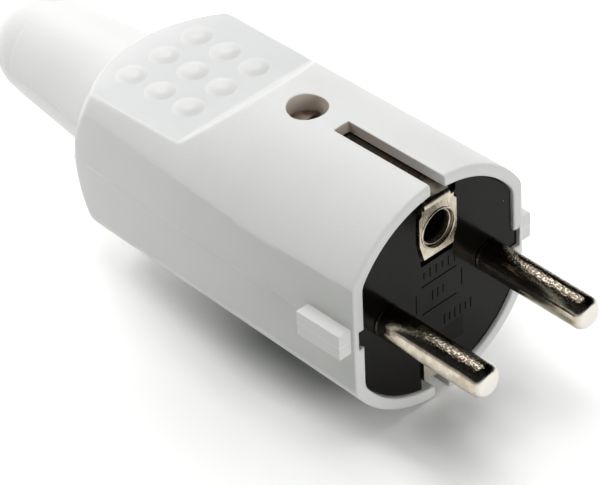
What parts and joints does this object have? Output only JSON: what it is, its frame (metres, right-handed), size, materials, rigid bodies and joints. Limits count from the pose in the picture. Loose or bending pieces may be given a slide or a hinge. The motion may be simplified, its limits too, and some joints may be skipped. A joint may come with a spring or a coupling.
{
  "type": "rewireable mains plug",
  "caption": "Rewireable rubber mains plug with round pins, a female earth socket, slotted side earth strips, guide tabs, grip bumps and a tapered cord tail.",
  "frame": {"origin": "centre of the black insert's front face, midway between the two pins", "axes": "-Y along the pins, the way the plug goes into a socket; +Y along the cord tail; +Z towards the earth socket and the housing screw; +X to the right seen from the front"},
  "size_m": [0.0362, 0.102, 0.0363],
  "materials": {
    "shell_rubber": "satin",
    "insert_plastic": "gloss",
    "plated_brass": "polished nickel plate",
    "screw_steel": "zinc plated"
  },
  "bodies": {
    "root": {"body_shell": "shell_rubber", "contact_insert": "insert_plastic", "pin_retainer": "insert_plastic", "pin_left": "plated_brass", "pin_right": "plated_brass", "earth_strip_upper": "plated_brass", "earth_strip_lower": "plated_brass", "earth_socket_sleeve": "plated_brass", "earth_clamp_washer": "screw_steel", "earth_terminal_screw": "screw_steel", "terminal_screw_left": "screw_steel", "terminal_screw_right": "screw_steel", "retainer_screw_left": "screw_steel", "retainer_screw_right": "screw_steel", "cord_clamp": "screw_steel", "clamp_screw_left": "screw_steel", "clamp_screw_right": "screw_steel", "housing_screw": "screw_steel", "housing_nut": "screw_steel"}
  },
  "joints": []
}
